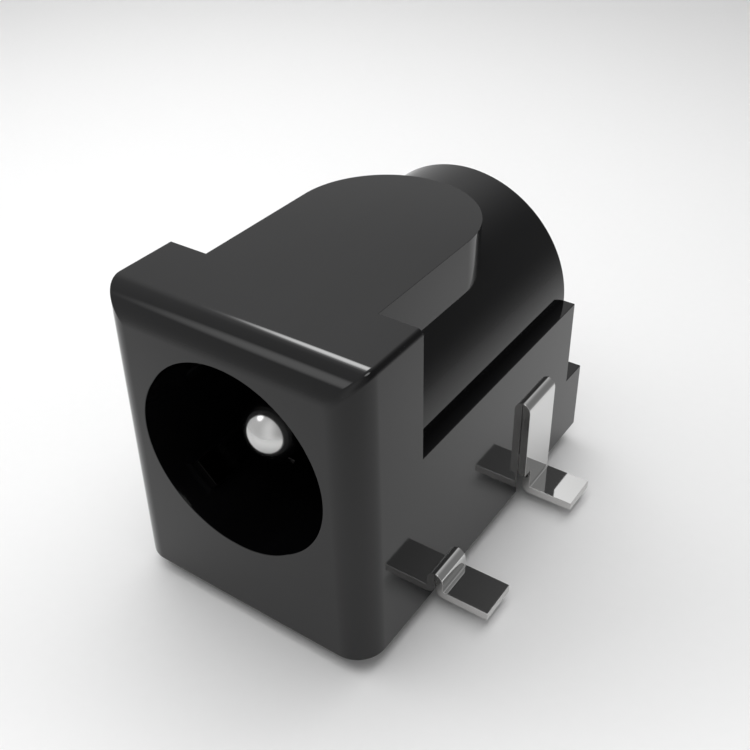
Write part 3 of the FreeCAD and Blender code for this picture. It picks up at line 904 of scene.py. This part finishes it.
@dataclass(kw_only=True)
class CentrePin(Piece):
    """Turned pin: domed tip, collar on the bore's end wall, tail riveted behind the ear."""

    node: str = "centre_pin"
    slot: Slot = Slot.PIN
    radius: float = 1.0
    recess: float = 1.0
    collar_radius: float = 1.5
    collar_length: float = 0.5
    seat: float = Housing.bore_depth
    tail_radius: float = 0.6
    head_radius: float = 0.95
    head_height: float = 0.45
    ease: float = 0.05

    def shape(self) -> bpy.types.Mesh:
        """Profile turned about the bore's axis."""
        dome = arc_profile((self.recess + self.radius, 0.0), self.radius, 180.0, 90.0, 32)
        front = self.seat - self.collar_length
        edge = self.collar_radius - self.ease
        collar = arc_profile((front + self.ease, edge), self.ease, 180.0, 90.0, EDGE_STEPS)
        ear_back = self.tabs.rear_back
        ear_front = ear_back - self.tabs.gauge
        cap_radius = (self.head_radius**2 + self.head_height**2) / (2 * self.head_height)
        cap_centre = ear_back + self.head_height - cap_radius
        rise = math.degrees(math.asin(self.head_radius / cap_radius))
        cap = arc_profile((cap_centre, 0.0), cap_radius, rise, 0.0, 16)
        profile = [
            *dome,
            (front, self.radius),
            *collar,
            (self.seat, self.collar_radius),
            (self.seat, self.radius),
            (ear_front, self.radius),
            (ear_front, self.tail_radius),
            (ear_back, self.tail_radius),
            *cap,
        ]
        return Turned(profile, 128).shell().mesh("centre_pin_mesh")


@dataclass(kw_only=True)
class PinTerminal(Piece):
    """Rear right tab whose leg carries the upright ear that the pin is riveted to."""

    node: str = "pin_terminal"
    ear_half_width: float = 1.3
    ear_top: float = 7.5
    ear_round: float = 0.8

    def shape(self) -> bpy.types.Mesh:
        """Tab folded across the jack, and the ear folded up behind it."""
        tab = self.tabs
        shell = Shell()
        path = tab.outer_path(Side.RIGHT, tab.rear_leg_top, self.ear_half_width - tab.lap)
        Strip(path, tab.bend_radius, tab.rear_edges()).add_to(shell, ACROSS)
        near, wall = tab.shoulder_front, tab.rear_back - tab.gauge / 2
        leg = tab.rear_leg_top - tab.gauge / 2
        corners = [(near, leg), (wall, leg), (wall, self.ear_top)]
        turn = np.linspace(0.0, QUARTER, 9)
        total = (wall - near) + (self.ear_top - leg) - tab.corner_loss
        taper = total - self.ear_round * (1 - np.sin(turn))
        half = self.ear_half_width - self.ear_round * (1 - np.cos(turn))
        edges = [(0.0, -self.ear_half_width, self.ear_half_width)]
        edges += [(float(s), -float(w), float(w)) for s, w in zip(taper, half)]
        Strip(corners, tab.bend_radius, edges).add_to(shell, LENGTHWISE)
        return shell.mesh("pin_terminal_mesh")


@dataclass(kw_only=True)
class SleeveSpring(Piece):
    """Rear left tab whose slanted root carries a bowed leaf along the bore, with a switching flap."""

    node: str = "sleeve_spring"
    slant: float = math.radians(45.0)
    leaf_width: float = 1.0
    root_radius: float = 3.45
    bow_radius: float = 2.6
    tip_radius: float = 3.1
    tip: float = 1.0
    nose: float = 0.8
    crown: float = 0.2
    heel: float = 8.6
    leaf_bend: float = 1.0
    flap_start: float = 0.25
    flap_face: float = 1.35
    flap_bottom: float = 2.0

    def on_leaf(self, radius: float, aside: float) -> Pair:
        """Point of the slanted leaf across the jack: its radius from the axis, and its place aside."""
        sine, cosine = math.sin(self.slant), math.cos(self.slant)
        return -radius * sine + aside * cosine, AXIS_HEIGHT - radius * cosine - aside * sine

    def shape(self) -> bpy.types.Mesh:
        """Root folded across the jack, leaf bent along the slanted plane, and flap turned down."""
        tab = self.tabs
        middle = tab.gauge / 2
        shell = Shell()
        leg = tab.rear_leg_top - middle
        root_radius = self.root_radius + middle
        fold = (root_radius + (leg - AXIS_HEIGHT) * math.cos(self.slant)) / math.sin(self.slant)
        path = tab.outer_path(Side.LEFT, tab.rear_leg_top, fold)
        path.append(self.on_leaf(root_radius, self.leaf_width / 2))
        Strip(path, tab.bend_radius, tab.rear_edges()).add_to(shell, ACROSS)
        self.add_leaf(shell)
        self.add_flap(shell)
        return shell.mesh("sleeve_spring_mesh")

    def add_leaf(self, shell: Shell) -> None:
        """Leaf drawn with its depth along the bore and its radius away from the axis."""
        tab, middle = self.tabs, self.tabs.gauge / 2
        low, high = tab.front_span
        stations = (
            (self.tip, self.tip_radius),
            (self.tip + self.nose, self.tip_radius),
            (low - self.crown, self.bow_radius),
            (high + self.crown, self.bow_radius),
            (self.heel, self.root_radius),
            (tab.shoulder_front + tab.lap, self.root_radius),
        )
        corners = [(along, -(radius + middle)) for along, radius in stations]
        sine, cosine = math.sin(self.slant), math.cos(self.slant)
        plane = Plane((0, 1, 0), (sine, 0, cosine), (cosine, 0, -sine), (0, 0, AXIS_HEIGHT))
        half = self.leaf_width / 2
        edges = [(0.0, -half, half), (PAST_END, -half, half)]
        Strip(corners, self.leaf_bend, edges).add_to(shell, plane)

    def add_flap(self, shell: Shell) -> None:
        """Flap that starts in the leaf's bow, follows its slant and turns straight down."""
        tab, middle = self.tabs, self.tabs.gauge / 2
        across = self.flap_face + middle
        radius = self.bow_radius + middle
        drop = AXIS_HEIGHT - (radius - across * math.sin(self.slant)) / math.cos(self.slant)
        start = self.on_leaf(radius, self.flap_start)
        corners = [start, (-across, drop), (-across, self.flap_bottom)]
        Strip(corners, tab.bend_radius, tab.front_edges()).add_to(shell, ACROSS)


@dataclass(kw_only=True)
class UprightTab(Piece):
    """Front tab with an upright at its inner end: the switch's finger, or the anchor's blade."""

    side: Side
    inner_end: float

    def shape(self) -> bpy.types.Mesh:
        """Foot, plate, leg and upright folded from one strip."""
        tab = self.tabs
        upright = self.inner_end + tab.gauge / 2
        path = tab.outer_path(self.side, tab.front_leg_top, upright)
        path.append((self.side.value * upright, UPRIGHT_TOP))
        shell = Strip(path, tab.bend_radius, tab.front_edges()).add_to(Shell(), ACROSS)
        return shell.mesh(self.node + "_mesh")


def heading(azimuth: float, elevation: float) -> Vector:
    """Unit vector: azimuth in degrees from the rear towards the right, elevation above level."""
    turn, rise = math.radians(azimuth), math.radians(elevation)
    return Vector((math.sin(turn) * math.cos(rise), math.cos(turn) * math.cos(rise), math.sin(rise)))


@dataclass(frozen=True)
class Glow:
    """Patch of light in the room: its direction, its angular radius and what its middle adds."""

    azimuth: float
    elevation: float
    radius: float
    strength: float


@dataclass
class Studio:
    """White table under a soft square light, in a pale room, and the camera."""

    camera_place: Triple = (15.991, -17.811, 24.924)
    camera_turn: Triple = (54.160, 1.343, 34.589)
    focal_pixels: float = 998.51
    frame_pixels: float = 750.0
    sensor: float = 36.0
    floor_half: float = 0.6
    floor_grey: float = 0.80
    floor_grain: float = 0.016
    floor_scale: float = 2500.0
    floor_rough: float = 0.55
    # Painted light: the table's colour is made up to 0.15 paler towards the front right, 2 to 12 mm
    # from the part's origin, standing in for light that falls more brightly there.
    painted_light_heading: Pair = (142.0, 0.0)
    painted_light_reach: Pair = (0.002, 0.012)
    painted_light_by: float = 0.15
    middle: Triple = (0.0, 0.0044, 0.0)
    seen_fade: Pair = (0.05, 0.2)
    mirrored_fade: Pair = (0.013, 0.06)
    mirrored_lift: float = 2.0e-6
    table_light: Triple = (-19.2, 10.2, 49.3)
    table_light_size: float = 83.5
    table_light_radiance: float = 1.79
    even: float = 0.452
    backdrop: float = 0.80
    dark: float = 0.216
    pale: float = 0.46
    pale_side: float = -105.0
    pale_reach: Pair = (-0.65, 0.05)
    below: float = 0.85
    below_reach: Pair = (-0.14, 0.57)
    glows: tuple[Glow, ...] = (
        Glow(-40.0, 50.0, 24.0, 0.40),
        Glow(-43.0, 48.5, 12.5, 2.5),
        Glow(-44.0, 45.5, 8.5, 9.0),
        Glow(-137.0, 43.2, 15.0, 1.9),
        Glow(80.0, 72.0, 15.0, 5.0),
        Glow(140.0, 14.0, 58.0, 0.28),
    )

    def add_camera(self) -> None:
        """Camera that sees the jack as the photograph does."""
        data = bpy.data.cameras.new("camera")
        data.sensor_width = self.sensor
        data.lens = self.focal_pixels / self.frame_pixels * self.sensor
        data.clip_start, data.clip_end = 0.001, 10.0
        camera = linked(bpy.data.objects.new("camera", data))
        camera.location = Vector(self.camera_place) * METRES
        camera.rotation_euler = Euler([math.radians(angle) for angle in self.camera_turn])
        bpy.context.scene.camera = camera

    def add_floor(self, name: str, fade: Pair, lift: float) -> bpy.types.Object:
        """Pale level table under the pegs, which clears away from the jack.

        Args:
            name: Name of the floor.
            fade: Distances from the jack at which it starts to clear and is gone, in metres.
            lift: Height over the table's own level in metres.

        Returns:
            The floor.
        """
        half = self.floor_half
        level = (-FLOOR_DEPTH - PART_ORIGIN[2]) * METRES + lift
        outline = ((-half, -half), (half, -half), (half, half), (-half, half))
        mesh = bpy.data.meshes.new(name)
        mesh.from_pydata([(x, y, level) for x, y in outline], [], [(0, 1, 2, 3)])
        bench = Bench(bpy.data.materials.new(name))
        place = bench.node("ShaderNodeTexCoord").outputs["Object"]
        # Painted light: the table is painted paler towards the front, in place of brighter light there.
        painted_light = bench.toward(place, heading(*self.painted_light_heading), *self.painted_light_reach) * self.painted_light_by
        grain = bench.noise(place, self.floor_scale, 3.0) * self.floor_grain
        grey = grain + painted_light + self.floor_grey
        colour = bench.node("ShaderNodeCombineColor", {}, {0: grey, 1: grey, 2: grey}).outputs[0]
        surface = {"Base Color": colour, "Roughness": self.floor_rough}
        table = bench.node("ShaderNodeBsdfPrincipled", {}, surface).outputs[0]
        away = bench.node("ShaderNodeVectorMath", {"operation": "DISTANCE"}, {0: place, 1: self.middle})
        clear = bench.node("ShaderNodeBsdfTransparent").outputs[0]
        gone = bench.step(away.outputs["Value"], *fade)
        mixed = bench.node("ShaderNodeMixShader", {}, {0: gone, 1: table, 2: clear})
        bench.node("ShaderNodeOutputMaterial", {}, {"Surface": mixed.outputs[0]})
        mesh.materials.append(bench.owner)
        floor = linked(bpy.data.objects.new(name, mesh))
        return floor

    def add_floors(self) -> None:
        """One floor that is seen and lit, and one just over it that only gloss shows."""
        seen = self.add_floor("floor", self.seen_fade, 0.0)
        seen.visible_glossy = False
        mirrored = self.add_floor("mirrored_floor", self.mirrored_fade, self.mirrored_lift)
        mirrored.visible_camera = mirrored.visible_diffuse = mirrored.visible_shadow = False

    def add_table_light(self) -> None:
        """Square light that hangs level over the table and shows in no gloss."""
        data = bpy.data.lights.new("table_light", "AREA")
        data.shape = "SQUARE"
        data.size = self.table_light_size * METRES
        data.energy = self.table_light_radiance * math.pi * data.size**2
        light = linked(bpy.data.objects.new("table_light", data))
        light.location = Vector(self.table_light) * METRES
        light.visible_glossy = light.visible_camera = False

    def add_room(self) -> None:
        """Room whose dark side and glows show in gloss, while dull surfaces get even light."""
        bench = Bench(bpy.data.worlds.new("room"))
        look = bench.node("ShaderNodeTexCoord").outputs["Generated"]
        side = heading(self.pale_side, 0.0)
        level = self.dark + self.pale * bench.toward(look, side, *self.pale_reach)
        low = bench.toward(look, Vector((0.0, 0.0, -1.0)), *self.below_reach)
        level = level + low * (self.below - level)
        for glow in self.glows:
            spot, edge = heading(glow.azimuth, glow.elevation), math.cos(math.radians(glow.radius))
            level = level + glow.strength * bench.toward(look, spot, edge, 1.0)
        path = bench.node("ShaderNodeLightPath").outputs
        gloss, seen = Value(bench, path["Is Glossy Ray"]), Value(bench, path["Is Camera Ray"])
        strength = self.even + gloss * (level - self.even) + seen * (self.backdrop - self.even)
        light = bench.node("ShaderNodeBackground", {}, {"Color": (1.0,) * 4, "Strength": strength})
        bench.node("ShaderNodeOutputWorld", {}, {"Surface": light.outputs[0]})
        bpy.context.scene.world = bench.owner

    def build(self) -> None:
        """Set up the whole studio."""
        self.add_camera()
        self.add_floors()
        self.add_table_light()
        self.add_room()
        bpy.context.scene.view_settings.view_transform = "Standard"


def main() -> None:
    """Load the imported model, dress every node and set up the studio."""
    logging.basicConfig(level=logging.INFO, format="%(message)s")
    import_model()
    Studio().build()
    sheet = BrightSheet().material()
    pieces = [
        Housing().build(GlossyPlastic().material()),
        CentrePin().build(TurnedNickel().material()),
        PinTerminal().build(sheet),
        # The spring's sheet is painted with shade on its parts inside the housing.
        SleeveSpring().build(BrightSheet(with_painted_shade=True).material()),
        UprightTab(node="switch_contact", side=Side.LEFT, inner_end=FINGER_END).build(sheet),
        UprightTab(node="anchor_tab", side=Side.RIGHT, inner_end=BLADE_END).build(sheet),
    ]
    for piece in pieces:
        LOG.info("%s: %d faces", piece.name, len(piece.data.polygons))


if __name__ == "__main__":
    main()
